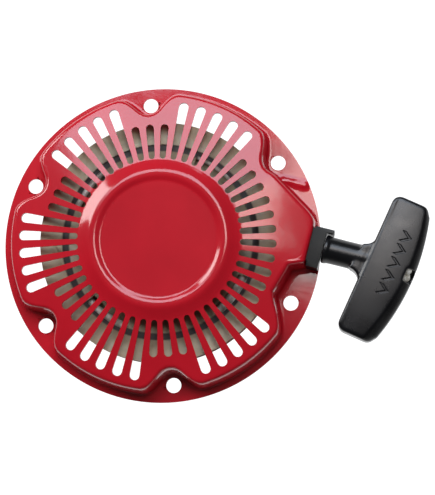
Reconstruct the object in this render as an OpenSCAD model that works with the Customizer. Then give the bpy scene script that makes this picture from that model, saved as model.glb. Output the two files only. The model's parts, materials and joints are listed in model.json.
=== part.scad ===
// Recoil starter for a small four-stroke engine, in millimetres.
//
// Frame: the origin is the centre of the bolt circle on the flange's mounting face.
// +Z runs along the reel's axis, away from the engine.
// +X points midway between the two flange holes beside the rope outlet.
// Pulling the rope turns the reel clockwise, seen from +Z.

/* [Flange] */
// Outside diameter of the flange
flange_d = 190; // [188:1:196]
// Thickness of the pressed sheet
sheet_t = 1.6; // [1.2:0.1:1.8]
// Diameter of the bolt circle
bolt_circle_d = 170; // [169:0.5:172]
// Diameter of each flange hole
bolt_hole_d = 9; // [6.5:0.5:10]

/* [Cover] */
// Outside diameter of the raised cover
cover_d = 181; // [179:1:183]
// Height of the cover at its outer edge
edge_h = 18; // [17.6:0.2:19]
// Height of the cone where it meets the centre boss
cone_h = 24; // [23:0.5:24.5]
// Height of the boss's rim
boss_h = 26.8; // [26.6:0.2:28]
// Depth of the flat recess in the boss
recess_depth = 1.2; // [0.8:0.1:1.5]
// Radius of the corner that goes round each flange hole
scallop_r = 9.5; // [9:0.5:11]

/* [Vents] */
// Number of slots in a full turn
slot_count = 48; // [48]
// Radius where every slot starts
slot_start_r = 48; // [47.5:0.5:50]
// Radius where a short slot ends
slot_short_r = 69.5; // [66:0.5:70]
// Radius where a long slot ends
slot_long_r = 84; // [80:0.5:84]
// Angle that one slot covers
slot_angle = 4.1; // [3:0.1:4.6]

/* [Reel] */
// Outside diameter of the reel
reel_d = 144; // [140:1:145]
// Diameter of the core that the rope winds on
reel_core_d = 99.4; // [99:0.2:100]
// Width of the rope groove
groove_w = 5; // [4.9:0.1:5.1]
// Inside radius of the spring cup
cup_r = 37.5; // [37.4:0.1:37.8]

/* [Rope and grip] */
// Diameter of the rope
rope_d = 4.5; // [4:0.1:4.6]
// Length of the grip's bar
bar_l = 87; // [80:1:92]
// Width of the bar at its ends
bar_w = 22.5; // [20:0.5:23]
// Thickness of the bar
bar_t = 17.4; // [16:0.2:17.4]
// Radius of the grip's neck
neck_r = 8; // [7:0.2:8.4]

/* [Ratchet] */
// Distance of each ratchet's pin from the axis
pin_dist = 20; // [19.6:0.1:20.4]
// Radius of each ratchet's pin
pin_r = 2.5; // [2:0.1:2.6]
// Distance from the pin to the ratchet's tip
ratchet_l = 18; // [17:0.25:18]
// Thickness of a ratchet
ratchet_t = 3.7; // [3.2:0.1:3.7]

/* [Hidden] */
$fn = 96;

// Small overlap that keeps cuts clean
cut = 0.5;
// Clearance between bodies that move past each other
gap = 0.3;
// Radial clearance of a running fit
run_fit = 0.05;

// Flange and cover
flange_r = flange_d / 2;
cover_r = cover_d / 2;
hole_ring_r = bolt_circle_d / 2;
recess_z = boss_h - recess_depth;
boss_r = 40.8;
recess_r = 35;

// Rope outlet: a point on the pull line, and the direction of the pull
outlet_x = 90.93;
outlet_y = -11.04;
pull_angle = -19.7;
// Straight wall beside the rope's run, and the slanted wall that holds the guide
run_wall_angle = 38;
run_wall_dist = 76.8;
guide_wall_start = [64.9, -35.2];
guide_wall_angle = 54.6;
guide_wall_out = 2;

// Reel levels
rope_z = 8.7;
groove_low = rope_z - groove_w / 2;
groove_high = rope_z + groove_w / 2;
reel_r = reel_d / 2;
core_r = reel_core_d / 2;
hub_low = -2;
reel_low = groove_low - 1.6;
reel_high = groove_high + 1.6;
cup_floor = 11.7;
cup_top = 21.8;
cup_wall = 2.5;
lower_hub_r = 35;

// Post
bearing_r = 8;
collar_r = 10;
spigot_r = 6;
plate_low = -9;
plate_t = 1.2;
spigot_low = plate_low - 0.2;
screw_r = 2.95;
washer_t = 1.2;
head_h = 4;

// Guide bush, in its own frame: x along the pull, y across it
guide_front = 5;
guide_left = 11.2;
guide_right = 13.2;
guide_low = 1.8;
guide_top = 15.6;
guide_body_half = 10;
ear_l = 4.4;
ear_t = 2.2;

// Nose of the cover, which the guide stands in front of
nose_front = -2.2;
nose_half = 11.8;

// Grip, in the same frame
neck_start = guide_front + gap;
ring_l = 3;
ring_r = 8.7;
bar_mid = [42.5, -3.4];
bar_cant = -9.7;
bar_bulge = 7;
bar_corner = 4.5;
pocket_r = 6.2;
pocket_floor = 47;

// Ratchets
rest_angle = -8;
open_angle = 20;
plate_turn = 25;
peg_dist = 7;
peg_r = 1.9;
plate_r = 27.5;
swing_ratio = (open_angle - rest_angle) / plate_turn;

// Recoil spring strip
strip_t = 0.8;
strip_low = 12.2;
strip_high = 21.4;
strip_turns = 8;
strip_in = 11.2;
strip_out = 36.6;

// Depth of the wound rope, from the core out
coil_depth = 9.6;
// Rope's run from the reel, through the guide, to the grip's pocket
rope_route = [[49, 38.1], [55.2, 30.1], [61.3, 22.1], [67.5, 14.1], [73.7, 6.1], [79.6, -1.5],
    [81.6, -3.9], [83.8, -6.1], [86.2, -8], [88.7, -9.6], [91.4, -11.1], [94.3, -12.3],
    [100.3, -14.4], [106.9, -16.8], [113.5, -19.1], [121.1, -21.8], [128.6, -24.5], [134.2, -26.5]];

// ---- shared shapes ----

// Stretch of an arc as points, for outlines
function arc(c, r, from, to, steps) =
    [for (i = [0:steps]) c + r * [cos(from + (to - from) * i / steps), sin(from + (to - from) * i / steps)]];

// A vent slot's outline: a wedge with round ends, lying along +X
function slot_outline(end_r) =
    let (a = slot_angle / 2,
         r_in = slot_start_r * sin(a) / (1 - sin(a)),
         r_out = end_r * sin(a) / (1 + sin(a)),
         c_in = [slot_start_r + r_in, 0],
         c_out = [end_r - r_out, 0])
    concat(arc(c_out, r_out, -90 - a, 90 + a, 8), arc(c_in, r_in, 90 + a, 270 - a, 6));

// Long slots lie between the flange holes, but not on the rope's side
function slot_is_long(a) =
    let (from_hole = ((a - 30) % 60 + 60) % 60,
         side = ((a + 180) % 360 + 360) % 360 - 180)
    from_hole > 14 && from_hole < 46 && abs(side) > 30;

// Places a child in the guide's frame: x along the pull, z at the flange
module at_outlet() {
    translate([outlet_x, outlet_y, 0]) rotate([0, 0, pull_angle]) children();
}

// Round bar along +X at the rope's height, in the guide's frame
module along_pull(r, from, to) {
    translate([from, 0, rope_z]) rotate([0, 90, 0]) cylinder(r = r, h = to - from);
}

// The cover's outline at a depth "inset" inside its outer skin
module cover_plan(inset) {
    difference() {
        circle(r = cover_r - inset);
        for (i = [0:5]) rotate(30 + 60 * i) translate([hole_ring_r, 0]) scallop(scallop_r + inset);
        run_side_cut(run_wall_dist - inset);
        difference() {
            guide_side_cut(guide_wall_out - inset);
            nose_plan(inset);
        }
    }
}

// The nose that reaches out to the guide
module nose_plan(inset) {
    translate([outlet_x, outlet_y]) rotate(pull_angle) translate([-30, inset - nose_half])
        square([30 + nose_front - inset, 2 * (nose_half - inset)]);
}

// The hollow round a flange hole: half round inside, with a mouth that opens outwards
module scallop(r) {
    mouth = 30;
    polygon(concat(arc([0, 0], r, 135, 225, 12), [[mouth, -mouth - r], [mouth, mouth + r]]));
}

// Everything beyond the straight wall that runs beside the rope
module run_side_cut(dist) {
    rotate(run_wall_angle) translate([dist, -60]) square([60, 55]);
}

// Everything beyond the slanted wall that holds the guide
module guide_side_cut(out) {
    translate(guide_wall_start) rotate(guide_wall_angle) translate([-6, -60 - out]) square([80, 60]);
}

// The cover's envelope, turned round the axis, at a depth "inset" inside its skin
module cover_envelope(inset) {
    rotate_extrude() polygon([
        [0, -1], [0, recess_z - inset], [recess_r + inset / 2, recess_z - inset],
        [38.4 + inset / 2, boss_h - inset], [boss_r - inset, boss_h - inset],
        [47 - inset, cone_h - inset], [cover_r - 4, edge_h - inset],
        [cover_r + 4, edge_h - 6 - inset], [cover_r + 4, -1]]);
}

module cover_solid(inset) {
    intersection() {
        translate([0, 0, -1]) linear_extrude(40) cover_plan(inset);
        cover_envelope(inset);
    }
}

// ---- case ----

module housing() {
    color("#B8142B") difference() {
        union() {
            cylinder(r = flange_r, h = sheet_t);
            intersection() {
                cover_solid(0);
                cylinder(r = flange_r, h = 40);
            }
            flange_rib();
        }
        cover_solid(sheet_t);
        vents();
        flange_holes();
        guide_window();
    }
}

module vents() {
    for (i = [0:slot_count - 1]) {
        a = 30 + 360 / slot_count * i;
        rotate([0, 0, a]) translate([0, 0, 12]) linear_extrude(20)
            polygon(slot_outline(slot_is_long(a) ? slot_long_r : slot_short_r));
    }
}

module flange_holes() {
    for (i = [0:5]) rotate([0, 0, 30 + 60 * i]) translate([hole_ring_r, 0, -cut])
        cylinder(r = bolt_hole_d / 2, h = sheet_t + 2 * cut);
}

module guide_window() {
    at_outlet() translate([-8, -guide_body_half - 0.15, sheet_t])
        cube([12, 2 * guide_body_half + 0.3, guide_top + 0.2 - sheet_t]);
}

// Stiffening rib on the flange between the upper hole and the outlet
module flange_rib() {
    translate([75.5, 31.6, sheet_t / 2]) rotate([0, 0, -20]) translate([0, -1.2, 0])
        cube([13, 2.4, sheet_t / 2 + 1.2]);
}

module center_post() {
    color("#9A9C9E") difference() {
        union() {
            translate([0, 0, cup_floor + gap]) cylinder(r = collar_r, h = recess_z - sheet_t - cup_floor - gap);
            translate([0, 0, hub_low]) cylinder(r = bearing_r, h = cup_floor + gap - hub_low);
            translate([0, 0, spigot_low]) cylinder(r = spigot_r, h = hub_low - spigot_low + cut);
        }
        translate([0, 0, spigot_low - cut]) cylinder(r = screw_r + run_fit, h = 20 + cut);
        spring_slot();
    }
}

// Slot across the collar for the spring's inner end
module spring_slot() {
    translate([5, -0.7, strip_low - 0.3]) cube([8, 1.4, strip_high - strip_low + 0.6]);
}

module rope_guide() {
    color("#1B1C1D") at_outlet() difference() {
        translate([0, 0, guide_low]) linear_extrude(guide_top - guide_low) polygon([
            [guide_front, -guide_right], [guide_front, guide_left - ear_t],
            [guide_front + ear_l, guide_left - ear_t], [guide_front + ear_l, guide_left],
            [nose_front + 0.1, guide_left], [nose_front + 0.1, guide_body_half], [-7, guide_body_half],
            [-7, -guide_body_half], [nose_front + 0.1, -guide_body_half], [nose_front + 0.1, -guide_right]]);
        along_pull(rope_d / 2 + 0.6, -12, guide_front + cut);
        translate([0, 0, rope_z - 3.2]) linear_extrude(6.4) polygon([
            [-8, -3], [-8, 9], [-4, 6], [-1, 3.2], [-1, -3]]);
    }
}

module center_screw() {
    color("#B9B4A2") {
        translate([0, 0, spigot_low - washer_t - head_h]) cylinder(r = 5.77, h = head_h, $fn = 6);
        translate([0, 0, spigot_low - washer_t - 1]) cylinder(r = 7, h = 1);
        translate([0, 0, spigot_low - washer_t - cut]) cylinder(r = screw_r, h = washer_t + 18);
    }
}

module thrust_washer() {
    color("#B7BABC") translate([0, 0, spigot_low - washer_t]) difference() {
        cylinder(r = 10, h = washer_t);
        translate([0, 0, -cut]) cylinder(r = screw_r + 0.25, h = washer_t + 2 * cut);
    }
}

// ---- reel ----

module reel() {
    color("#B5AB98") difference() {
        reel_turned();
        flange_windows();
        hub_pockets();
        ratchet_bores();
        spring_notch();
        knot_pocket();
    }
}

module reel_turned() {
    rotate_extrude() polygon([
        [bearing_r + run_fit, hub_low], [lower_hub_r, hub_low], [lower_hub_r, reel_low],
        [reel_r, reel_low], [reel_r, groove_low], [core_r, groove_low], [core_r, groove_high],
        [reel_r, groove_high], [reel_r, reel_high], [58.7, reel_high], [58.7, groove_high + 0.6],
        [54.8, groove_high + 0.6], [54.8, reel_high - 0.4], [cup_r + cup_wall, reel_high - 0.4],
        [cup_r + cup_wall, cup_top], [cup_r, cup_top], [cup_r, cup_floor],
        [bearing_r + run_fit, cup_floor]]);
}

// Four windows in the upper flange, over the rope
module flange_windows() {
    for (i = [0:3]) rotate([0, 0, 48 + 90 * i]) translate([0, 0, groove_high - cut]) linear_extrude(3)
        polygon(concat(arc([0, 0], 50.4, -14, 14, 8), arc([0, 0], 56.4, 14, -14, 8)));
}

// Pockets between the ribs on the engine side
module hub_pockets() {
    for (i = [0:11]) rotate([0, 0, 30 * i]) translate([0, 0, reel_low - cut]) linear_extrude(cut + 5)
        polygon(concat(arc([0, 0], 37, -12.5, 12.5, 5), arc([0, 0], 47, 12.8, -12.8, 5)));
}

// Blind bores for the ratchet pins, with a round pocket for each wire spring
module ratchet_bores() {
    for (side = [0, 1]) rotate([0, 0, 180 * side]) translate([0, pin_dist, 0]) {
        translate([0, 0, hub_low - cut]) cylinder(r = pin_r, h = 6 + cut);
        translate([0, 0, hub_low - cut]) cylinder(r = 5.4, h = 3.4 + cut);
    }
}

// Notch in the cup's wall that the spring's outer end hooks into
module spring_notch() {
    translate([cup_r - 2, -2, strip_low - 0.4]) cube([cup_wall + 4, 4, 12]);
}

// Pocket in the core for the knot at the rope's inner end
module knot_pocket() {
    rotate([0, 0, 150]) {
        translate([41, -4.5, rope_z - 4]) cube([6, 9, 14]);
        translate([46, -2.6, groove_low]) cube([5, 5.2, groove_w]);
    }
}

// Flat spiral strip: point on the strip's middle at turn fraction f
function strip_r(f) = strip_in + (strip_out - strip_in) * pow(f, 0.6);
function strip_point(f, side) = let (a = 360 * strip_turns * f, r = strip_r(f) + side * strip_t / 2)
    r * [cos(a), sin(a)];

module recoil_spring() {
    steps = strip_turns * 30;
    color("#5E6166") {
        translate([0, 0, strip_low]) linear_extrude(strip_high - strip_low) polygon(concat(
            [for (i = [0:steps]) strip_point(i / steps, 1)],
            [for (i = [steps:-1:0]) strip_point(i / steps, -1)]));
        translate([6, -strip_t / 2, strip_low]) cube([5.4, strip_t, strip_high - strip_low]);
        translate([36.4, -strip_t / 2, strip_low]) cube([3.4, strip_t, strip_high - strip_low]);
    }
}

// ---- rope ----

module rope_coil() {
    half = groove_w / 2 - 0.2;
    color("#D9D6CC") rotate_extrude() translate([core_r + gap, rope_z]) {
        for (x = [half, coil_depth - half]) translate([x, 0]) circle(r = half);
        translate([half, -half]) square([coil_depth - 2 * half, 2 * half]);
    }
}

module rope_reel_knot() {
    color("#D9D6CC") rotate([0, 0, 150]) {
        translate([44, 0, rope_z]) sphere(r = 2.9);
        translate([44, 0, rope_z]) rotate([0, 90, 0]) cylinder(r = rope_d / 2, h = 5.2);
    }
}

// Sweeps a tube with 8 sides along the rope's route
function route_dir(i) = let (a = rope_route[max(i - 1, 0)], b = rope_route[min(i + 1, len(rope_route) - 1)])
    (b - a) / norm(b - a);
function route_ring(i) = let (d = route_dir(i), p = rope_route[i])
    [for (k = [0:7]) let (c = rope_d / 2 * cos(45 * k), s = rope_d / 2 * sin(45 * k))
        [p[0] - d[1] * c, p[1] + d[0] * c, rope_z + s]];

module rope_lead() {
    n = len(rope_route);
    points = [for (i = [0:n - 1]) each route_ring(i)];
    sides = [for (i = [0:n - 2], k = [0:7])
        [i * 8 + k, i * 8 + (k + 1) % 8, (i + 1) * 8 + (k + 1) % 8, (i + 1) * 8 + k]];
    caps = [[7, 6, 5, 4, 3, 2, 1, 0], [for (k = [0:7]) (n - 1) * 8 + k]];
    color("#E4E1D8") polyhedron(points, concat(sides, caps));
}

module rope_grip_knot() {
    color("#E4E1D8") at_outlet() {
        translate([pocket_floor + 5.6, 0, rope_z]) sphere(r = 4.4);
        along_pull(rope_d / 2, pocket_floor - 0.9, pocket_floor + 4);
    }
}

// ---- grip ----

// Outline of the bar in its own frame: y along the bar, x towards the outer edge
function bar_outline() =
    let (h = bar_l / 2, w = bar_w / 2, c = bar_corner, bulge_r = (h * h + bar_bulge * bar_bulge) / (2 * bar_bulge),
         half = asin((h - c) / bulge_r))
    concat(
        arc([w + bar_bulge - bulge_r, 0], bulge_r, -half, half, 16),
        arc([w - c, h - c], c, 60, 90, 3),
        arc([-w + c, h - c], c, 90, 180, 4),
        arc([-w + c, -h + c], c, 180, 270, 4),
        arc([w - c, -h + c], c, 270, 300, 3));

module grip() {
    color("#1A1B1D") at_outlet() difference() {
        union() {
            along_pull(ring_r, neck_start, neck_start + ring_l);
            along_pull(neck_r, neck_start, bar_mid[0]);
            neck_flare();
            translate([bar_mid[0], bar_mid[1], rope_z - bar_t / 2]) rotate([0, 0, bar_cant])
                linear_extrude(bar_t) polygon(bar_outline());
        }
        along_pull(rope_d / 2 + 0.4, neck_start - cut, pocket_floor + 1);
        along_pull(pocket_r, pocket_floor, 70);
        translate([56.5, -4, rope_z]) cube([8, 8, 12]);
    }
}

// Flare where the neck runs into the bar
module neck_flare() {
    translate([26, 0, rope_z]) rotate([0, 90, 0]) cylinder(r1 = neck_r, r2 = neck_r + 0.6, h = 12);
    translate([0, 0, rope_z - neck_r]) linear_extrude(2 * neck_r)
        polygon(concat(arc([28.2, 14], 6, -90, -2, 8), [[38, 14], [38, -14]], arc([23.3, -14], 6, 2, 90, 8)));
}

module grip_washer() {
    color("#A9ACAE") at_outlet() difference() {
        along_pull(pocket_r - 0.2, pocket_floor, pocket_floor + 1);
        along_pull(rope_d / 2 + 0.2, pocket_floor - cut, pocket_floor + 1 + cut);
    }
}

// ---- ratchet ----

// Ratchet lying along +X from its pin, before it is turned to its rest angle
module ratchet_shape() {
    difference() {
        union() {
            cylinder(r = 4.6, h = ratchet_t);
            linear_extrude(ratchet_t) polygon([[0, 4.6], [9, 4.2], [ratchet_l - 1, 2.4], [ratchet_l, 1.2],
                [ratchet_l, -2.6], [ratchet_l - 3, -3], [8, -3.2], [0, -4.6]]);
            translate([peg_dist, 0, -2.9]) cylinder(r = peg_r, h = 3.4);
        }
        translate([0, 0, -cut]) cylinder(r = pin_r + run_fit, h = ratchet_t + 2 * cut);
    }
}

module ratchet_a() {
    color("#8C8F92") translate([0, pin_dist, hub_low - gap - ratchet_t]) rotate([0, 0, rest_angle]) ratchet_shape();
}

module ratchet_b() {
    rotate([0, 0, 180]) ratchet_a();
}

module ratchet_pin_a() {
    color("#A7AAAD") translate([0, pin_dist, 0]) {
        translate([0, 0, hub_low - gap - ratchet_t - 1.5]) cylinder(r = pin_r, h = ratchet_t + gap + 7.4);
        translate([0, 0, hub_low - gap - ratchet_t - 1.6]) cylinder(r = pin_r + 1, h = 1.4);
    }
}

module ratchet_pin_b() {
    rotate([0, 0, 180]) ratchet_pin_a();
}

// Wire spring round a ratchet's pin, as the ring that its turns fill
module ratchet_spring_a() {
    color("#C9CBCD") translate([0, pin_dist, hub_low + 0.3]) difference() {
        cylinder(r = 4.4, h = 2.8);
        translate([0, 0, -cut]) cylinder(r = 3.4, h = 2.8 + 2 * cut);
    }
}

module ratchet_spring_b() {
    rotate([0, 0, 180]) ratchet_spring_a();
}

// Coil spring between the reel and the slotted plate, as the ring that its turns fill
module friction_spring() {
    color("#C9CBCD") translate([0, 0, plate_low + plate_t + 0.1]) difference() {
        cylinder(r = 9.6, h = hub_low - plate_low - plate_t - 0.4);
        translate([0, 0, -cut]) cylinder(r = 8.4, h = 10);
    }
}

// Place of a ratchet's peg, in the plate's frame, when the plate has turned by t
function peg_point(t) = let (a = rest_angle + swing_ratio * t,
        p = [peg_dist * cos(a), pin_dist + peg_dist * sin(a)])
    [p[0] * cos(t) + p[1] * sin(t), p[1] * cos(t) - p[0] * sin(t)];
function peg_dir(t) = let (d = peg_point(t + 0.5) - peg_point(t - 0.5)) d / norm(d);
function peg_side(t, off) = let (d = peg_dir(t)) peg_point(t) + off * [-d[1], d[0]];

// Slot that the peg runs in, with a round end at each limit
function peg_end(t, from) = let (d = peg_dir(t), a = atan2(d[1], d[0]))
    arc(peg_point(t), peg_r + 0.3, a + from, a + from - 180, 10);

module peg_slot() {
    w = peg_r + 0.3;
    translate([0, 0, plate_low - cut]) linear_extrude(plate_t + 2 * cut) polygon(concat(
        [for (t = [2.5:2.5:plate_turn - 2.5]) peg_side(t, w)], peg_end(plate_turn, 90),
        [for (t = [plate_turn - 2.5:-2.5:2.5]) peg_side(t, -w)], peg_end(0, 270)));
}

module ratchet_guide() {
    color("#B4B7B0") difference() {
        translate([0, 0, plate_low]) cylinder(r = plate_r, h = plate_t);
        translate([0, 0, plate_low - cut]) cylinder(r = spigot_r + run_fit, h = plate_t + 2 * cut);
        for (side = [0, 180]) rotate([0, 0, side]) {
            peg_slot();
            translate([0, 0, plate_low - cut]) linear_extrude(plate_t + 2 * cut)
                polygon(concat(arc([0, 0], 13.5, -36, 20, 8), arc([0, 0], 23, 20, -36, 10)));
        }
    }
}

// ---- the nodes ----

housing();
center_post();
rope_guide();
center_screw();
thrust_washer();
reel();
recoil_spring();
ratchet_pin_a();
ratchet_pin_b();
ratchet_spring_a();
ratchet_spring_b();
friction_spring();
ratchet_guide();
ratchet_a();
ratchet_b();
rope_coil();
rope_reel_knot();
rope_lead();
grip();
grip_washer();
rope_grip_knot();
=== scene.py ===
"""Looks of a small engine's recoil starter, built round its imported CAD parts. Lengths are in metres."""
import json
import math

import bmesh
import bpy
from mathutils import Matrix, Vector

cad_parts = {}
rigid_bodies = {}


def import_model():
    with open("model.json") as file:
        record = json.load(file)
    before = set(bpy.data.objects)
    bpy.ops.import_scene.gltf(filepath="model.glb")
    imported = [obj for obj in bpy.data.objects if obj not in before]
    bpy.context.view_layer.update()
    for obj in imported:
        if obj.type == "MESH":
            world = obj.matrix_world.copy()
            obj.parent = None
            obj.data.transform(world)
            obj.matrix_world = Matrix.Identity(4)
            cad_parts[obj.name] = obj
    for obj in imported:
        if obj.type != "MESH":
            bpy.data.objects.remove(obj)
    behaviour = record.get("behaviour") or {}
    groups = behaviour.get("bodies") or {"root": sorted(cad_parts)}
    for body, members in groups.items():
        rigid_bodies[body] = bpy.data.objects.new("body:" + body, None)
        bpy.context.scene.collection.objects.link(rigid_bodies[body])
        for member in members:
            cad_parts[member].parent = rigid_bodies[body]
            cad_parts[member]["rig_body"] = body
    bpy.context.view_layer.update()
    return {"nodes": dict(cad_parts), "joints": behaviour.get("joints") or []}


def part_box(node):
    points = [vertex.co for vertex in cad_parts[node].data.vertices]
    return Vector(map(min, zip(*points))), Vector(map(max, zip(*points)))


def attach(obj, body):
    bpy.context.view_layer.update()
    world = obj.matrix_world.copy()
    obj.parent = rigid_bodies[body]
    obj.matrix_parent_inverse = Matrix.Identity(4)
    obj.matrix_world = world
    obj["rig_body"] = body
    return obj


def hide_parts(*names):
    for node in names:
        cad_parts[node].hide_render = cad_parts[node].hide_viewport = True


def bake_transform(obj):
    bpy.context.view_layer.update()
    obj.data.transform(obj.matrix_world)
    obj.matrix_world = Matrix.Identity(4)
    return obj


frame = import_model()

MM = 0.001
UP = Vector((0, 0, 1))

# Sizes that the CAD parts fix
FLANGE_R = -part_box("housing")[0].x
ROPE_Z = (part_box("rope_lead")[0].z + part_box("rope_lead")[1].z) / 2
ROPE_R = (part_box("rope_lead")[1].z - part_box("rope_lead")[0].z) / 2

# Underside of the reel's top flange; the groove's painted shade lies above it
REEL_FACE_LOW = 10.5 * MM

# The rope's outlet: a point on the pull line, and the direction of the pull
PULL = Vector(next(j for j in frame["joints"] if j["name"] == "grip_pull")["axis"])
OUTLET = Vector((90.93 * MM, -11.04 * MM, 0))
ACROSS = UP.cross(PULL)
TO_OUTLET = Matrix.Translation(OUTLET) @ Matrix((PULL, ACROSS, UP)).transposed().to_4x4()


# ---- helpers ----

def srgb(code):
    """Linear colour of an sRGB hex code."""
    parts = [int(code[i:i + 2], 16) / 255 for i in (0, 2, 4)]
    return tuple(c / 12.92 if c <= 0.04045 else ((c + 0.055) / 1.055) ** 2.4 for c in parts) + (1.0,)


def add(tree, kind, inputs=None, **settings):
    """Adds a shader node with its settings, and sets or links its inputs."""
    node = tree.nodes.new(kind)
    for name, value in settings.items():
        setattr(node, name, value)
    for name, value in (inputs or {}).items():
        if isinstance(value, bpy.types.NodeSocket):
            tree.links.new(value, node.inputs[name])
        else:
            node.inputs[name].default_value = value
    return node


def new_material(name, **constants):
    """A material with a Principled shader whose constants sit on its own sockets."""
    made = bpy.data.materials.new(name)
    made.use_nodes = True
    tree = made.node_tree
    shader = tree.nodes["Principled BSDF"]
    for socket, value in constants.items():
        shader.inputs[socket.replace("_", " ")].default_value = value
    return made, tree, shader


def ramp(tree, factor, stops):
    """A colour ramp through (position, hex code) stops."""
    node = add(tree, "ShaderNodeValToRGB", {"Fac": factor})
    band = node.color_ramp.elements
    while len(band) < len(stops):
        band.new(0.5)
    for element, (position, code) in zip(band, stops):
        element.position = position
        element.color = srgb(code)
    return node.outputs["Color"]


def noise(tree, size, detail=3.0, stretch=(1, 1, 1)):
    """Noise on the object's own coordinates, with features of about the given size."""
    place = add(tree, "ShaderNodeTexCoord")
    turned = add(tree, "ShaderNodeMapping", {"Vector": place.outputs["Object"], "Scale": stretch})
    made = add(tree, "ShaderNodeTexNoise", {"Vector": turned.outputs["Vector"], "Scale": 1 / size,
                                            "Detail": detail})
    return made.outputs["Fac"]


def between(tree, value, low, high):
    """The value, spread from 0..1 to low..high."""
    return add(tree, "ShaderNodeMapRange", {"Value": value, "From Min": 0.3, "From Max": 0.7, "To Min": low,
                                            "To Max": high}).outputs["Result"]


def bump(tree, shader, height, depth, strength=1.0, below=None):
    """Bump of a real depth, on the shader's normal."""
    inputs = {"Height": height, "Distance": depth, "Strength": strength}
    if below is not None:
        inputs["Normal"] = below
    made = add(tree, "ShaderNodeBump", inputs)
    tree.links.new(made.outputs["Normal"], shader.inputs["Normal"])
    return made.outputs["Normal"]


def finished(name, bm, material, body, stands_for=()):
    """Makes a piece of a bmesh, with its material, body, slot and the CAD nodes that it stands for."""
    mesh = bpy.data.meshes.new(name)
    bm.to_mesh(mesh)
    bm.free()
    for face in mesh.polygons:
        face.use_smooth = True
    piece = bpy.data.objects.new(name, mesh)
    bpy.context.scene.collection.objects.link(piece)
    return dressed(piece, material, body, stands_for)


def dressed(piece, material, body, stands_for=()):
    piece.data.materials.clear()
    piece.data.materials.append(material)
    if body:
        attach(piece, body)
    if stands_for:
        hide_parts(*stands_for)
    return piece


def soften(piece, width, segments=2, angle=32):
    """Rounds the piece's sharp edges, as a mould, a press or a tumbler leaves them."""
    made = piece.modifiers.new("edges", "BEVEL")
    made.width = width
    made.segments = segments
    made.limit_method = "ANGLE"
    made.angle_limit = math.radians(angle)
    made.harden_normals = True
    return made


def wrapped(angle):
    """The same angle, from -180 to 180 degrees."""
    return (angle + 180) % 360 - 180


def smooth_min(a, b, k):
    """The smaller of two lengths, with the corner between them rounded over k."""
    h = max(k - abs(a - b), 0) / k
    return min(a, b) - h * h * k / 4


def bell(x, middle, width):
    return math.exp(-((x - middle) / width) ** 2)


# ---- materials ----

def red_enamel():
    """Stoved gloss enamel on pressed steel: deep red, with a clear wet shine and a faint orange peel."""
    made, tree, shader = new_material("red_gloss_enamel", Roughness=0.45, Coat_Weight=0.9, Coat_Roughness=0.09,
                                      Specular_IOR_Level=0.08)
    shade = ramp(tree, noise(tree, 30 * MM, 4), [(0.3, "AE0A1C"), (0.7, "BA0E20")])
    tree.links.new(shade, shader.inputs["Base Color"])
    waves = bump(tree, shader, noise(tree, 14 * MM, 2), 0.05 * MM)
    peel = bump(tree, shader, noise(tree, 1.1 * MM, 2), 0.006 * MM, below=waves)
    tree.links.new(peel, shader.inputs["Coat Normal"])
    return made


def natural_nylon():
    """Moulded natural nylon: a cloudy beige that has taken up a little oil, with painted shade in the groove on
    its top: a dark ring where the groove lies in shade.
    """
    made, tree, shader = new_material("natural_nylon_moulding", Roughness=0.5, Subsurface_Weight=0.06,
                                      Subsurface_Scale=0.002)
    shade = ramp(tree, noise(tree, 9 * MM, 5), [(0.25, "8A8069"), (0.5, "A39A80"), (0.8, "B5AC94")])
    place = add(tree, "ShaderNodeTexCoord")
    axes = add(tree, "ShaderNodeSeparateXYZ", {"Vector": place.outputs["Object"]})
    flat = add(tree, "ShaderNodeCombineXYZ", {"X": axes.outputs["X"], "Y": axes.outputs["Y"]})
    length = add(tree, "ShaderNodeVectorMath", {0: flat.outputs["Vector"]}, operation="LENGTH")
    share = add(tree, "ShaderNodeMath", {0: length.outputs["Value"], 1: 100 * MM}, operation="DIVIDE")
    # Painted shade: a dark ring (241A14) on the reel's top over the groove, 54.3 to 59.2 mm out, stands in for
    # the groove's shade
    ring = ramp(tree, share.outputs["Value"], [(0.543, "000000"), (0.552, "FFFFFF"), (0.584, "FFFFFF"),
                                               (0.592, "000000")])
    upper = add(tree, "ShaderNodeMath", {0: axes.outputs["Z"], 1: REEL_FACE_LOW}, operation="GREATER_THAN")
    groove_shade = add(tree, "ShaderNodeMath", {0: ring, 1: upper.outputs["Value"]}, operation="MULTIPLY")
    groove_shaded = add(tree, "ShaderNodeMix", {0: groove_shade.outputs["Value"], "A": shade, "B": srgb("241A14")},
                data_type="RGBA")
    tree.links.new(groove_shaded.outputs["Result"], shader.inputs["Base Color"])
    tree.links.new(between(tree, noise(tree, 4 * MM), 0.42, 0.6), shader.inputs["Roughness"])
    bump(tree, shader, noise(tree, 0.8 * MM), 0.02 * MM)
    return made


def black_plastic(name, codes, low, high, grain, shine):
    """Moulded black plastic: nearly black, with a dull shine and the fine even grain of its mould."""
    made, tree, shader = new_material(name, Specular_IOR_Level=shine)
    shade = ramp(tree, noise(tree, 12 * MM, 4), [(0.3, codes[0]), (0.7, codes[1])])
    tree.links.new(shade, shader.inputs["Base Color"])
    tree.links.new(between(tree, noise(tree, 15 * MM, 2), low, high), shader.inputs["Roughness"])
    bump(tree, shader, noise(tree, grain, 2), 0.02 * MM)
    return made


def plated_steel(name, codes, low, high, grain, stretch=(1, 1, 1)):
    """Plated or drawn steel: bright metal whose tint and polish wander a little, with a fine worked grain."""
    made, tree, shader = new_material(name, Metallic=1.0)
    shade = ramp(tree, noise(tree, 5 * MM, 5), [(0.3, codes[0]), (0.5, codes[1]), (0.72, codes[2])])
    tree.links.new(shade, shader.inputs["Base Color"])
    tree.links.new(between(tree, noise(tree, 3 * MM, 4), low, high), shader.inputs["Roughness"])
    bump(tree, shader, noise(tree, grain, 3, stretch), 0.012 * MM)
    return made


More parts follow.
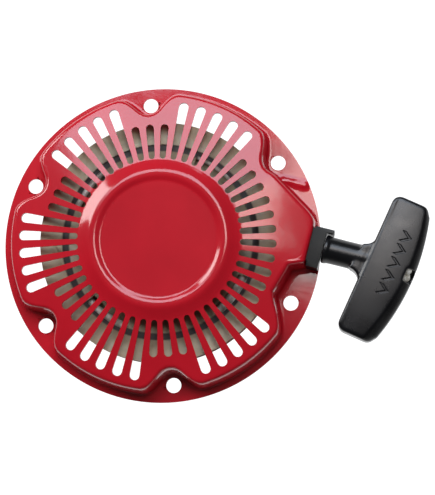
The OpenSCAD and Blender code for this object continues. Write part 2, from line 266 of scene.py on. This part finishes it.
def braided_nylon():
    """Braided white nylon cord: strands that cross in a fine diamond, soft, with painted shade that greys the
    gaps between the strands.
    """
    made, tree, shader = new_material("braided_nylon_cord", Roughness=0.75, Sheen_Weight=0.25)
    place = add(tree, "ShaderNodeTexCoord")
    strands = []
    pull_angle = math.atan2(PULL.y, PULL.x)
    strand_scale = 2.2 / (5.6 * MM * math.tau)
    for lean in (1, -1):
        turned = add(tree, "ShaderNodeMapping", {"Vector": place.outputs["Object"],
                                                 "Rotation": (0.5 * lean, 0, 0.7 * lean - pull_angle)})
        wave = add(tree, "ShaderNodeTexWave", {"Vector": turned.outputs["Vector"], "Scale": strand_scale,
                                               "Distortion": 0.4})
        strands.append(wave.outputs["Fac"])
    weave = add(tree, "ShaderNodeMath", {0: strands[0], 1: strands[1]}, operation="MULTIPLY").outputs["Value"]
    # Painted shade: the gaps between strands are coloured grey (B9B4A6), the strands' crowns near white
    shade = ramp(tree, weave, [(0.0, "B9B4A6"), (0.25, "DEDBD0"), (0.8, "F1EFE7")])
    tree.links.new(shade, shader.inputs["Base Color"])
    bump(tree, shader, weave, 0.25 * MM)
    return made


ENAMEL = red_enamel()
NYLON = natural_nylon()
GUIDE_PLASTIC = black_plastic("black_nylon_moulding", ("090A0A", "111413"), 0.3, 0.42, 0.9 * MM, 0.25)
GRIP_PLASTIC = black_plastic("black_abs_moulding", ("08080A", "0F0F12"), 0.25, 0.34, 0.7 * MM, 0.42)
ZINC = plated_steel("bright_zinc_plate", ("8E959B", "AEB3B6", "C3C5C2"), 0.28, 0.42, 0.6 * MM)
YELLOW_ZINC = plated_steel("yellow_zinc_plate", ("A08A4C", "BFA867", "B7A88A"), 0.28, 0.4, 0.6 * MM)
SINTERED = plated_steel("sintered_steel", ("55585B", "66696C", "777A7C"), 0.42, 0.6, 0.4 * MM)
BLUED = plated_steel("blued_spring_strip", ("2B3038", "3D434C", "565A60"), 0.25, 0.4, 1.2 * MM, (1, 1, 6))
WIRE = plated_steel("drawn_spring_wire", ("8B8F94", "A9ADB0", "BDBFC1"), 0.2, 0.34, 0.5 * MM)
CORD = braided_nylon()


# ---- housing: one pressed sheet ----

SHEET = 1.6 * MM
HOLE_RING = 85 * MM
HOLE_R = 4.5 * MM
EDGE_R = 88.5 * MM       # where the cover's top turns down, between the holes
SCALLOP_R = 9.2 * MM     # the same line round each flange hole
RUN_WALL = (38, 75.8 * MM)      # straight wall beside the rope: its normal and distance
GUIDE_WALL = (-35.4, 73.3 * MM)  # slanted wall that holds the guide
NOSE_TURN = -19.7
NOSE_FRONT = 85.9 * MM           # the nose that reaches out to the guide, measured along the pull
NOSE_LOW = -16.2                 # and the angle of its lower side
PITCHES = 48
SLOT_HALF = 2.05
SLOT_IN, SLOT_SHORT, SLOT_LONG = 48 * MM, 69.5 * MM, 84 * MM
COLUMNS = [-2.05, -1.85, -1.45, -0.8, 0, 0.8, 1.45, 1.85, 2.05, 3.05, 4.45]

BOSS_ROWS = [(4, 25.6), (20, 25.6), (33.6, 25.6), (34.4, 25.62), (35, 25.72), (35.5, 25.9), (36.2, 26.18),
             (37, 26.5), (37.7, 26.7), (38.5, 26.79), (39.6, 26.8), (40.4, 26.74), (41.2, 26.55), (42, 26.27),
             (43.2, 25.76), (44.4, 25.24), (45.4, 24.84), (46.3, 24.5), (47, 24.28)]
CONE_ROWS = [47.7, "in", 53, 57, 61, 64.5, "short", 71.2]
OUTER_ROWS = [0.25, 0.46, "long", 0.9, 1.0]
BEND_ROWS = [20, 40, 58, 76]
WALL_ROWS = [0.3, 0.65]
FILLET_ROWS = [76, 55, 35, 15, 0]
FLANGE_ROWS = [0.12, 0.24, 0.36, 0.48, 0.6, 0.72, 0.84, 0.94, 1.0]
BEND_R, FILLET_R, WALL_FOOT = 2.4, 2.0, 3.7


def cone_z(r):
    return (24 - (r / MM - 47.5) * 0.146) * MM


def outline(angle, out):
    """Radius of the cover's edge at an angle, with the edge moved outwards by out."""
    r = EDGE_R + out + 4 * MM * bell(angle, 0, 9)
    for hole in range(-150, 181, 60):
        lean = math.radians(abs(wrapped(angle - hole)))
        if lean > math.radians(34):
            continue
        turn = SCALLOP_R - out
        corner = math.atan2(turn * math.sqrt(0.5), HOLE_RING - turn * math.sqrt(0.5))
        if lean <= corner:
            reach = HOLE_RING * math.cos(lean) - math.sqrt(turn ** 2 - (HOLE_RING * math.sin(lean)) ** 2)
        else:
            reach = (HOLE_RING - turn * math.sqrt(2)) / max(math.cos(lean) - math.sin(lean), 0.3)
        r = smooth_min(r, reach, 6 * MM)
    if abs(angle) < 45:
        past_upper = max(angle - 30, 0) * 1.2 * MM
        past_lower = max(-30 - angle, 0) * 1.2 * MM
        upper = (RUN_WALL[1] + out) / math.cos(math.radians(angle - RUN_WALL[0])) + past_upper
        lower = (GUIDE_WALL[1] + out) / math.cos(math.radians(angle - GUIDE_WALL[0])) + past_lower
        r = smooth_min(r, upper, 3 * MM)
        lower = smooth_min(r, lower, 3 * MM)
        front = (NOSE_FRONT + out) / math.cos(math.radians(angle - NOSE_TURN))
        share = min(max((angle - NOSE_LOW - 1.4) / 2.8 + 0.5 + out / (5 * MM), 0), 1)
        nose = min(smooth_min(r, front, 3 * MM), FLANGE_R - 2 * MM + 0.2 * out)
        r = lower + (nose - lower) * share * share * (3 - 2 * share)
    return r


def spread(angle):
    """How much wider the wall's slope is than elsewhere: it eases down to the guide."""
    return 1 + 0.35 * bell(angle, -22, 8)


def slot_end(offset, end, inner):
    """Radius of a slot's round end, at an angle from the slot's middle."""
    half = math.sin(math.radians(SLOT_HALF))
    side = math.radians(min(abs(offset), SLOT_HALF))
    turn = end * half / (1 - half) if inner else end * half / (1 + half)
    middle = end + turn if inner else end - turn
    depth = math.sqrt(max(turn ** 2 - (middle * math.sin(side)) ** 2, 0))
    return middle * math.cos(side) + (-depth if inner else depth)


def is_long(pitch):
    """Long slots lie between the flange holes, but not on the rope's side."""
    angle = wrapped(30 + 7.5 * pitch)
    return pitch % 8 in (2, 3, 4, 5, 6) and abs(angle) > 30


def flange_rise(x, y):
    """Height of the stiffening rib on the flange, beside the upper hole on the rope's side."""
    start, end = Vector((75.5 * MM, 31.8 * MM)), Vector((88.5 * MM, 27.2 * MM))
    line = end - start
    t = min(max((Vector((x, y)) - start).dot(line) / line.length_squared, 0), 1)
    gap = (Vector((x, y)) - start - line * t).length
    return 1.3 * MM * bell(gap, 0, 1.7 * MM)


def sheet_point(row, angle, offset, long_slot):
    """Place of the sheet's outer skin at a row and an angle."""
    limit = outline(angle, -2 * MM * spread(angle))
    top = cone_z(limit)
    kind, value = row
    if kind == "boss":
        return value[0] * MM, value[1] * MM
    if kind == "cone":
        if value == "in":
            r = slot_end(offset, SLOT_IN, True)
        elif value == "short":
            r = slot_end(SLOT_HALF if long_slot else offset, SLOT_SHORT, False)
        else:
            r = value * MM
        return r, cone_z(r)
    if kind == "outer":
        share = 0.644 if value == "long" else value
        r = 71.2 * MM + (limit - 71.2 * MM) * share
        if value == "long" and long_slot:
            r = slot_end(offset, SLOT_LONG, False)
        return r, cone_z(r)
    if kind == "bend":
        a = math.radians(value)
        out = -2 + BEND_R * math.sin(a)
        return outline(angle, out * MM * spread(angle)), top - BEND_R * MM * (1 - math.cos(a))
    last = math.radians(BEND_ROWS[-1])
    high = (-2 + BEND_R * math.sin(last), top / MM - BEND_R * (1 - math.cos(last)))
    low = (WALL_FOOT - FILLET_R * math.sin(last), SHEET / MM + FILLET_R * (1 - math.cos(last)))
    if kind == "wall":
        out = high[0] + (low[0] - high[0]) * value
        return outline(angle, out * MM * spread(angle)), (high[1] + (low[1] - high[1]) * value) * MM
    if kind == "fillet":
        a = math.radians(value)
        out = WALL_FOOT - FILLET_R * math.sin(a)
        r = min(outline(angle, out * MM * spread(angle)), FLANGE_R - 0.8 * MM)
        return r, SHEET + FILLET_R * MM * (1 - math.cos(a))
    foot = min(outline(angle, WALL_FOOT * MM * spread(angle)), FLANGE_R - 0.8 * MM)
    return foot + (FLANGE_R - foot) * value, SHEET


def housing():
    zones = {"boss": BOSS_ROWS, "cone": CONE_ROWS, "outer": OUTER_ROWS, "bend": BEND_ROWS, "wall": WALL_ROWS,
             "fillet": FILLET_ROWS, "flange": FLANGE_ROWS}
    rows = [(kind, value) for kind, values in zones.items() for value in values]
    slot_rows = [rows.index(("cone", "in")), rows.index(("cone", "short")), rows.index(("outer", "long"))]
    per_pitch = len(COLUMNS)
    steps = PITCHES * per_pitch

    # A line of vertices, one for each row, turned once round the axis
    bm = bmesh.new()
    line = [bm.verts.new((i + 1, 0, 0)) for i in range(len(rows))]
    edges = [bm.edges.new(pair) for pair in zip(line, line[1:])]
    bmesh.ops.spin(bm, geom=line + edges, cent=(0, 0, 0), axis=(0, 0, 1), angle=math.tau, steps=steps,
                   use_merge=True)

    def address(co):
        return math.hypot(co.x, co.y) - 1, (math.atan2(co.y, co.x) / math.tau * steps) % steps

    # The slots: faces taken out between their end rows
    gone = []
    for face in bm.faces:
        row, column = address(face.calc_center_median())
        pitch, place = divmod(column, per_pitch)
        last = slot_rows[2] if is_long(int(pitch)) else slot_rows[1]
        if place < 8 and slot_rows[0] < row < last:
            gone.append(face)
    bmesh.ops.delete(bm, geom=gone, context="FACES")

    # Each vertex goes from its row and column to its place on the sheet
    for vert in bm.verts:
        row, column = address(vert.co)
        pitch, place = divmod(round(column) % steps, per_pitch)
        offset = COLUMNS[place]
        inside = offset if abs(offset) <= SLOT_HALF else SLOT_HALF
        angle = wrapped(30 + 7.5 * pitch + offset)
        r, z = sheet_point(rows[round(row)], angle, inside, is_long(pitch))
        x, y = r * math.cos(math.radians(angle)), r * math.sin(math.radians(angle))
        if rows[round(row)][0] in ("flange", "fillet"):
            z += flange_rise(x, y)
        vert.co = (x, y, z)

    centre = [e for e in bm.edges if e.is_boundary and all(v.co.xy.length < 5 * MM for v in e.verts)]
    bmesh.ops.contextual_create(bm, geom=centre)
    flange_holes(bm)
    guide_opening(bm)
    bmesh.ops.recalc_face_normals(bm, faces=bm.faces)
    if max(bm.faces, key=lambda f: f.calc_center_median().z).normal.z < 0:
        bmesh.ops.reverse_faces(bm, faces=bm.faces)

    piece = finished("housing_pressing", bm, ENAMEL, "case", ["housing"])
    wall = piece.modifiers.new("sheet", "SOLIDIFY")
    wall.thickness = SHEET
    wall.offset = -1
    soften(piece, 0.35 * MM, 2, 50)
    return piece


def flange_holes(bm):
    """Round holes in the flat of the flange, each bridged to the sheet round it."""
    for k in range(6):
        a = math.radians(30 + 60 * k)
        middle = Vector((HOLE_RING * math.cos(a), HOLE_RING * math.sin(a), SHEET))
        near = [f for f in bm.faces if (f.calc_center_median() - middle).length < HOLE_R + 1.2 * MM
                and f.calc_center_median().z < SHEET + 0.5 * MM]
        border = {e for f in near for e in f.edges if sum(g in near for g in e.link_faces) == 1}
        bmesh.ops.delete(bm, geom=near, context="FACES")
        border = [e for e in border if e.is_valid]
        rim = bmesh.ops.create_circle(bm, segments=48, radius=HOLE_R * 1.1, matrix=Matrix.Translation(middle))
        rim_edges = list({e for v in rim["verts"] for e in v.link_edges})
        inner = bmesh.ops.extrude_edge_only(bm, edges=rim_edges)
        bmesh.ops.scale(bm, vec=(1 / 1.1, 1 / 1.1, 1), space=Matrix.Translation(-middle),
                        verts=[v for v in inner["geom"] if isinstance(v, bmesh.types.BMVert)])
        bmesh.ops.bridge_loops(bm, edges=border + rim_edges)


def guide_opening(bm):
    """The window that the guide passes through, a little smaller than the guide's block."""
    back = TO_OUTLET.inverted()
    gone = []
    for face in bm.faces:
        p = back @ face.calc_center_median()
        if abs(p.y) < 9.4 * MM and 3.4 * MM < p.z < 14.4 * MM and -9 * MM < p.x < 5 * MM:
            gone.append(face)
    bmesh.ops.delete(bm, geom=gone, context="FACES")


housing()


# ---- parts that keep the CAD's shape, with their edges rounded ----

def rounded_copy(node, name, material, width, segments=2):
    """A CAD node's own shape, joined into whole faces and given rounded edges."""
    source = frame["nodes"][node]
    bm = bmesh.new()
    bm.from_mesh(source.data)
    bmesh.ops.remove_doubles(bm, verts=bm.verts, dist=0.002 * MM)
    bmesh.ops.dissolve_limit(bm, angle_limit=math.radians(0.5), verts=bm.verts, edges=bm.edges)
    piece = finished(name, bm, material, source["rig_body"], [node])
    soften(piece, width, segments)
    return piece


rounded_copy("reel", "reel_moulding", NYLON, 0.35 * MM)
rounded_copy("rope_guide", "guide_bush", GUIDE_PLASTIC, 1.1 * MM, 4)
rounded_copy("center_post", "turned_post", ZINC, 0.3 * MM)
rounded_copy("center_screw", "hex_screw", YELLOW_ZINC, 0.4 * MM)
rounded_copy("thrust_washer", "flat_washer", ZINC, 0.2 * MM)
rounded_copy("ratchet_guide", "cam_plate", ZINC, 0.2 * MM)
rounded_copy("grip_washer", "knot_washer", ZINC, 0.15 * MM)
for side in "ab":
    rounded_copy("ratchet_" + side, "pawl_" + side, SINTERED, 0.4 * MM)
    rounded_copy("ratchet_pin_" + side, "pawl_pin_" + side, ZINC, 0.25 * MM)


# ---- springs ----

def wire(name, points, radius, material, body, stands_for=()):
    """A round wire or cord along points, with closed ends."""
    curve = bpy.data.curves.new(name, "CURVE")
    curve.dimensions = "3D"
    curve.bevel_depth = radius
    curve.bevel_resolution = 3
    curve.use_fill_caps = True
    line = curve.splines.new("POLY")
    line.points.add(len(points) - 1)
    for point, place in zip(line.points, points):
        point.co = (*place, 1)
    shape = bpy.data.objects.new(name + "_path", curve)
    bpy.context.scene.collection.objects.link(shape)
    bpy.context.view_layer.update()
    mesh = bpy.data.meshes.new_from_object(shape.evaluated_get(bpy.context.evaluated_depsgraph_get()))
    bpy.data.objects.remove(shape)
    mesh.name = name
    for face in mesh.polygons:
        face.use_smooth = True
    piece = bpy.data.objects.new(name, mesh)
    bpy.context.scene.collection.objects.link(piece)
    return dressed(piece, material, body, stands_for)


def helix(centre, radius, low, high, turns, steps=32, phase=0.0):
    """Points up a helix, whose first and last turns lie flat."""
    total = int(turns * steps)
    points = []
    for i in range(total + 1):
        rise = min(max((i / steps - 0.75) / (turns - 1.5), 0), 1)
        a = phase + math.tau * i / steps
        points.append((centre[0] + radius * math.cos(a), centre[1] + radius * math.sin(a),
                       low + (high - low) * rise))
    return points


def friction_spring():
    low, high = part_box("friction_spring")
    thick = 0.6 * MM
    wire("friction_coil", helix((0, 0), high.x - thick, low.z + thick, high.z - thick, 4), thick, WIRE,
         "ratchet_guide", ["friction_spring"])


def ratchet_springs():
    """A small wound spring on each pin; its legs, one in the hub and one on the ratchet, are not drawn."""
    thick = 0.4 * MM
    for side, sign in (("a", 1), ("b", -1)):
        node = "ratchet_spring_" + side
        low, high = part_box(node)
        middle = (low + high) / 2
        radius = (high.x - low.x) / 2 - thick
        turns = helix((middle.x, middle.y), radius, low.z + thick, high.z - thick, 3.5,
                      phase=math.pi / 2 * sign)
        wire("pawl_spring_" + side, turns, thick, WIRE, "reel", [node])


def recoil_spring():
    """Flat strip wound in a spiral from the post. Its outer end clears the cup's wall, so the reel can turn."""
    low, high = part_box("recoil_spring")
    turns, per_turn, first, last = 8, 72, 11.2 * MM, 36.6 * MM
    places = [(6 * MM, 0)]
    for i in range(turns * per_turn + 1):
        share = i / (turns * per_turn)
        r = first + (last - first) * share ** 0.6
        a = math.tau * turns * share
        places.append((r * math.cos(a), r * math.sin(a)))
    places.append((37.1 * MM, 0.6 * MM))
    bm = bmesh.new()
    line = [bm.verts.new((x, y, low.z)) for x, y in places]
    edges = [bm.edges.new(pair) for pair in zip(line, line[1:])]
    raised = bmesh.ops.extrude_edge_only(bm, edges=edges)
    top = [v for v in raised["geom"] if isinstance(v, bmesh.types.BMVert)]
    bmesh.ops.translate(bm, vec=(0, 0, high.z - low.z), verts=top)
    bmesh.ops.recalc_face_normals(bm, faces=bm.faces)
    piece = finished("spiral_strip", bm, BLUED, "case", ["recoil_spring"])
    strip = piece.modifiers.new("strip", "SOLIDIFY")
    strip.thickness = 0.8 * MM
    strip.offset = 0
    soften(piece, 0.15 * MM, 1, 50)


friction_spring()
ratchet_springs()
recoil_spring()


# ---- rope ----

# The rope's run from the reel, through the guide, into the grip's bore, in millimetres
ROPE_ROUTE = [(49, 38.1), (55.2, 30.1), (61.3, 22.1), (67.5, 14.1), (73.7, 6.1), (79.6, -1.5), (81.6, -3.9),
              (83.8, -6.1), (86.2, -8), (88.7, -9.6), (91.4, -11.1), (94.3, -12.3), (100.3, -14.4),
              (106.9, -16.8), (113.5, -19.1), (121.1, -21.8), (128.6, -24.5), (134.2, -26.5)]


def curve_through(points, per_span):
    """Points along a smooth curve through given ones."""
    made = []
    for i in range(len(points) - 1):
        p0, p1 = points[max(i - 1, 0)], points[i]
        p2, p3 = points[i + 1], points[min(i + 2, len(points) - 1)]
        for k in range(per_span):
            t = k / per_span
            made.append(0.5 * (2 * p1 + (p2 - p0) * t + (2 * p0 - 5 * p1 + 4 * p2 - p3) * t * t
                               + (3 * p1 - p0 - 3 * p2 + p3) * t ** 3))
    made.append(points[-1])
    return made


def rope_lead():
    """The rope from the reel, through the guide, to the grip."""
    route = curve_through([Vector((x * MM, y * MM, ROPE_Z)) for x, y in ROPE_ROUTE], 5)
    piece = wire("rope_run", route, ROPE_R, CORD, None, ["rope_lead"])
    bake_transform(piece)


def rope_coil():
    """The turns of rope on the reel, each one a layer further out."""
    first, step_out, layers = 52.2 * MM, 4.545 * MM, 3
    turns = []
    steps = 96
    end = math.radians(37)
    for i in range(layers * steps + 1):
        share = i / steps
        a = end + math.tau * (layers - share)
        r = first + step_out * min(share, layers - 1)
        turns.append((r * math.cos(a), r * math.sin(a), ROPE_Z))
    wire("rope_turns", turns, ROPE_R, CORD, "reel", ["rope_coil"])


def overhand_knot(name, centre, direction, size, body, node):
    """A pulled-tight overhand knot: a trefoil of cord, with a short tail."""
    along = Vector(direction).normalized()
    side = UP.cross(along)
    points = []
    for i in range(73):
        a = math.tau * i / 72
        x = math.sin(a) + 2 * math.sin(2 * a)
        y = math.cos(a) - 2 * math.cos(2 * a)
        z = -math.sin(3 * a)
        points.append(Vector(centre) + (side * x * 0.27 + UP * y * 0.27 + along * z * 0.42) * size)
    wire(name, points, size * 0.42, CORD, body, [node])


rope_lead()
rope_coil()
pocket = OUTLET + PULL * 54.6 * MM - ACROSS * 1.6 * MM + UP * (ROPE_Z + 0.8 * MM)
overhand_knot("grip_knot", pocket, PULL, 5.4 * MM, "grip", "rope_grip_knot")
reel_knot = Vector((44 * MM * math.cos(math.radians(150)), 44 * MM * math.sin(math.radians(150)), ROPE_Z))
overhand_knot("reel_knot", reel_knot, reel_knot.xy.to_3d(), 3.2 * MM, "reel", "rope_reel_knot")


# ---- grip ----

BAR_MID, BAR_SHIFT, BAR_CANT = 42.5, -3.4, -9.7
BAR_HALF, BAR_WIDE, BAR_BULGE, BAR_CORNER = 43.5, 11.25, 7, 5
BAR_THICK = 17.4
POCKET_R, POCKET_FLOOR = 6.2, 47
NECK_RINGS = [(5.4, 0), (5.4, 8.1), (5.9, 8.6), (7.6, 8.6), (8.2, 8.3), (8.6, 8), (18, 7.9), (24, 7.9), (28, 8),
              (42, 8), (42, 0)]


def arc(cx, cy, r, start, end, steps):
    return [(cx + r * math.cos(math.radians(start + (end - start) * i / steps)),
             cy + r * math.sin(math.radians(start + (end - start) * i / steps))) for i in range(steps + 1)]


def bar_outline():
    h, w, c = BAR_HALF, BAR_WIDE, BAR_CORNER
    bulge_r = (h * h + BAR_BULGE ** 2) / (2 * BAR_BULGE)
    half = math.degrees(math.asin((h - c) / bulge_r))
    return (arc(w + BAR_BULGE - bulge_r, 0, bulge_r, -half, half, 24) + arc(w - c + 0.4, h - c, c, 25, 90, 6)
            + arc(-w + c, h - c, c, 90, 180, 6) + arc(-w + c, -h + c, c, 180, 270, 6)
            + arc(w - c + 0.4, -h + c, c, 270, 335, 6))


def bar_solid():
    """The grip's bar: its outline drawn up to its thickness, with the face and back edges rounded."""
    bm = bmesh.new()
    rim = [bm.verts.new((x * MM, y * MM, -BAR_THICK / 2 * MM)) for x, y in bar_outline()]
    face = bm.faces.new(rim)
    raised = bmesh.ops.extrude_face_region(bm, geom=[face])
    top = [v for v in raised["geom"] if isinstance(v, bmesh.types.BMVert)]
    bmesh.ops.translate(bm, vec=(0, 0, BAR_THICK * MM), verts=top)
    edges = [e for e in bm.edges if abs(e.verts[0].co.z - e.verts[1].co.z) < 1e-6]
    bmesh.ops.bevel(bm, geom=edges, offset=2 * MM, offset_type="OFFSET", segments=4, profile=0.5,
                    affect="EDGES", material=-1, clamp_overlap=True)
    bmesh.ops.recalc_face_normals(bm, faces=bm.faces)
    bmesh.ops.transform(bm, verts=bm.verts, matrix=Matrix.Translation((BAR_MID * MM, BAR_SHIFT * MM, ROPE_Z))
                        @ Matrix.Rotation(math.radians(BAR_CANT), 4, "Z"))
    return bm


def turned_bar(rings, steps=48):
    """A shape turned about the pull line, from (place, radius) pairs."""
    bm = bmesh.new()
    line = [bm.verts.new((s * MM, r * MM, 0)) for s, r in rings]
    edges = [bm.edges.new(pair) for pair in zip(line, line[1:])]
    bmesh.ops.spin(bm, geom=line + edges, cent=(0, 0, 0), axis=(1, 0, 0), angle=math.tau, steps=steps,
                   use_merge=True)
    bmesh.ops.remove_doubles(bm, verts=bm.verts, dist=0.001 * MM)
    bmesh.ops.recalc_face_normals(bm, faces=bm.faces)
    bmesh.ops.translate(bm, vec=(0, 0, ROPE_Z), verts=bm.verts)
    return bm


def loose(name, bm):
    """A working object that isn't part of the scene's result."""
    mesh = bpy.data.meshes.new(name)
    bm.to_mesh(mesh)
    bm.free()
    made = bpy.data.objects.new(name, mesh)
    bpy.context.scene.collection.objects.link(made)
    return made


def flare_solid():
    """The web that spreads the neck into the bar."""
    rim = arc(27.6, 15, 7, -90, -5, 8) + [(42, 15), (42, -15)] + arc(22.6, -15, 7, 5, 90, 8)
    bm = bmesh.new()
    face = bm.faces.new([bm.verts.new((x * MM, y * MM, ROPE_Z - 7.6 * MM)) for x, y in rim])
    raised = bmesh.ops.extrude_face_region(bm, geom=[face])
    top = [v for v in raised["geom"] if isinstance(v, bmesh.types.BMVert)]
    bmesh.ops.translate(bm, vec=(0, 0, 15.2 * MM), verts=top)
    edges = [e for e in bm.edges if abs(e.verts[0].co.z - e.verts[1].co.z) < 1e-6]
    bmesh.ops.bevel(bm, geom=edges, offset=3.4 * MM, offset_type="OFFSET", segments=4, profile=0.5,
                    affect="EDGES", material=-1, clamp_overlap=True)
    bmesh.ops.recalc_face_normals(bm, faces=bm.faces)
    return bm


def cut_away(target, tool, operation="DIFFERENCE"):
    made = target.modifiers.new("cut", "BOOLEAN")
    made.operation = operation
    made.solver = "EXACT"
    made.object = tool


def chevron_depth(p):
    """Depth of the row of plain chevrons pressed into the bar's face, at a point in the bar's frame."""
    depth = 0
    for k in range(5):
        along = abs(p.y - (21.9 - 8.42 * k))
        gap = abs(p.x - (7.4 - along * 1.5)) / 1.8
        if along < 3.2 and -1 < p.x < 8.4:
            depth = max(depth, min(max((0.75 - gap) / 0.3, 0), 1))
    return 0.4 * depth


def skirt_drop(p):
    """How far the bar's face rolls down towards its outer edge, at a point in the bar's frame."""
    bulge_r = (BAR_HALF ** 2 + BAR_BULGE ** 2) / (2 * BAR_BULGE)
    edge = BAR_WIDE + BAR_BULGE - bulge_r + math.sqrt(max(bulge_r ** 2 - p.y ** 2, 0))
    inside = 4.4 - 0.035 * p.y - (edge - p.x)
    return 0.85 * (inside + math.sqrt(inside ** 2 + 0.25)) / 2


def grip():
    """The moulded T grip: bar, neck and flare run together, then its pocket, bore and notch."""
    body = loose("grip_body", bar_solid())
    tools = [loose("grip_neck", turned_bar(NECK_RINGS)), loose("grip_flare", flare_solid())]
    for tool in tools:
        cut_away(body, tool, "UNION")
    bores = [turned_bar([(5, 0), (5, 2.7), (48, 2.7), (48, 0)], 24),
             turned_bar([(POCKET_FLOOR, 0), (POCKET_FLOOR, POCKET_R), (70, POCKET_R), (70, 0)])]
    notch = bmesh.new()
    bmesh.ops.create_cube(notch, size=1, matrix=Matrix.Translation((59.6 * MM, -4.4 * MM, ROPE_Z + 6 * MM))
                          @ Matrix.Rotation(math.radians(BAR_CANT), 4, "Z")
                          @ Matrix.Diagonal((8 * MM, 8.2 * MM, 12 * MM, 1)))
    for bm in bores + [notch]:
        tool = loose("grip_cut", bm)
        cut_away(body, tool)
        tools.append(tool)
    remesh = body.modifiers.new("skin", "REMESH")
    remesh.mode = "VOXEL"
    remesh.voxel_size = 0.55 * MM
    relax = body.modifiers.new("relax", "SMOOTH")
    relax.factor = 0.5
    relax.iterations = 8
    bpy.context.view_layer.update()
    mesh = bpy.data.meshes.new_from_object(body.evaluated_get(bpy.context.evaluated_depsgraph_get()))
    for spare in [body] + tools:
        bpy.data.objects.remove(spare)

    bar_place = Matrix.Translation((BAR_MID * MM, BAR_SHIFT * MM, 0))
    to_bar = (bar_place @ Matrix.Rotation(math.radians(BAR_CANT), 4, "Z")).inverted()
    bm = bmesh.new()
    bm.from_mesh(mesh)

    def on_face(vert):
        q = to_bar @ vert.co
        high_up = vert.co.z > ROPE_Z + BAR_THICK * 0.45 * MM
        return high_up and -3 * MM < q.x < 10 * MM and -17 * MM < q.y < 27 * MM

    near = [e for e in bm.edges if on_face(e.verts[0]) and on_face(e.verts[1])]
    bmesh.ops.subdivide_edges(bm, edges=near, cuts=2, use_grid_fill=True)
    for vert in bm.verts:
        q = to_bar @ vert.co
        q = Vector((q.x / MM, q.y / MM, 0))
        lift = (vert.co.z - ROPE_Z) / (BAR_THICK / 2 * MM)
        on_bar = min(max((q.x + 14) / 6, 0), 1)
        crown = 1.3 * (q.y / BAR_HALF) ** 2 + 0.4 * (q.x / BAR_WIDE) ** 2
        vert.co.z -= crown * MM * lift * on_bar
        if lift > 0:
            vert.co.z -= skirt_drop(q) * MM * lift * on_bar
        if lift > 0.9:
            vert.co.z -= chevron_depth(q) * MM * on_bar
    bm.to_mesh(mesh)
    bm.free()
    mesh.transform(TO_OUTLET)
    mesh.name = "grip_moulding"
    for face in mesh.polygons:
        face.use_smooth = True
    piece = bpy.data.objects.new("grip_moulding", mesh)
    bpy.context.scene.collection.objects.link(piece)
    dressed(piece, GRIP_PLASTIC, "grip", ["grip"])


grip()


# ---- floor, light and camera ----

def floor():
    bm = bmesh.new()
    bmesh.ops.create_grid(bm, x_segments=8, y_segments=8, size=3.0)
    bmesh.ops.translate(bm, vec=(0, 0, -0.3), verts=bm.verts)
    mesh = bpy.data.meshes.new("floor")
    bm.to_mesh(mesh)
    bm.free()
    made = bpy.data.objects.new("floor", mesh)
    bpy.context.scene.collection.objects.link(made)
    material, tree, shader = new_material("pale_floor", Roughness=0.9, Base_Color=srgb("949494"),
                                          Emission_Color=srgb("FFFFFF"), Emission_Strength=0.92)
    mesh.materials.append(material)


def softbox(name, place, size, power, tint, target=None):
    """A flat studio light that faces straight down, or towards a target."""
    data = bpy.data.lights.new(name, "AREA")
    data.shape = "RECTANGLE"
    data.size, data.size_y = size
    data.energy = power
    data.color = srgb(tint)[:3]
    made = bpy.data.objects.new(name, data)
    bpy.context.scene.collection.objects.link(made)
    made.location = place
    if target:
        made.rotation_euler = (Vector(target) - Vector(place)).to_track_quat("-Z", "Y").to_euler()


def studio():
    world = bpy.data.worlds.new("studio")
    world.use_nodes = True
    world.node_tree.nodes["Background"].inputs["Color"].default_value = srgb("FFFFFF")
    world.node_tree.nodes["Background"].inputs["Strength"].default_value = 0.08
    bpy.context.scene.world = world
    softbox("top_softbox", (0.02, 0.67, 1.0), (0.84, 0.68), 12.6, "E6F0FF")
    softbox("right_softbox", (0.19, 0.21, 1.0), (0.28, 0.24), 1.9, "FFF8F4")
    softbox("key_lamp", (-1.3, 1.1, 1.3), (0.8, 0.8), 24, "FFFFFF", (0, 0, 0))
    bpy.context.scene.view_settings.view_transform = "Standard"


def camera():
    """Looks down on the starter's face, leaning a little towards its lower right."""
    distance, lens = 1.2, 145.4
    lean, lean_axis, roll = math.radians(9.1), math.radians(27.5), math.radians(5.15)
    side, rise = -0.033, 0.0017
    tilt = Matrix.Rotation(-lean, 3, Vector((math.cos(lean_axis), math.sin(lean_axis), 0)))
    to_camera = tilt @ Matrix.Rotation(roll, 3, "Z")
    turn = to_camera.transposed()
    data = bpy.data.cameras.new("camera")
    data.lens = lens
    data.sensor_width = 36
    made = bpy.data.objects.new("camera", data)
    bpy.context.scene.collection.objects.link(made)
    made.matrix_world = Matrix.Translation(turn @ Vector((-side, -rise, distance))) @ turn.to_4x4()
    bpy.context.scene.camera = made


floor()
studio()
camera()
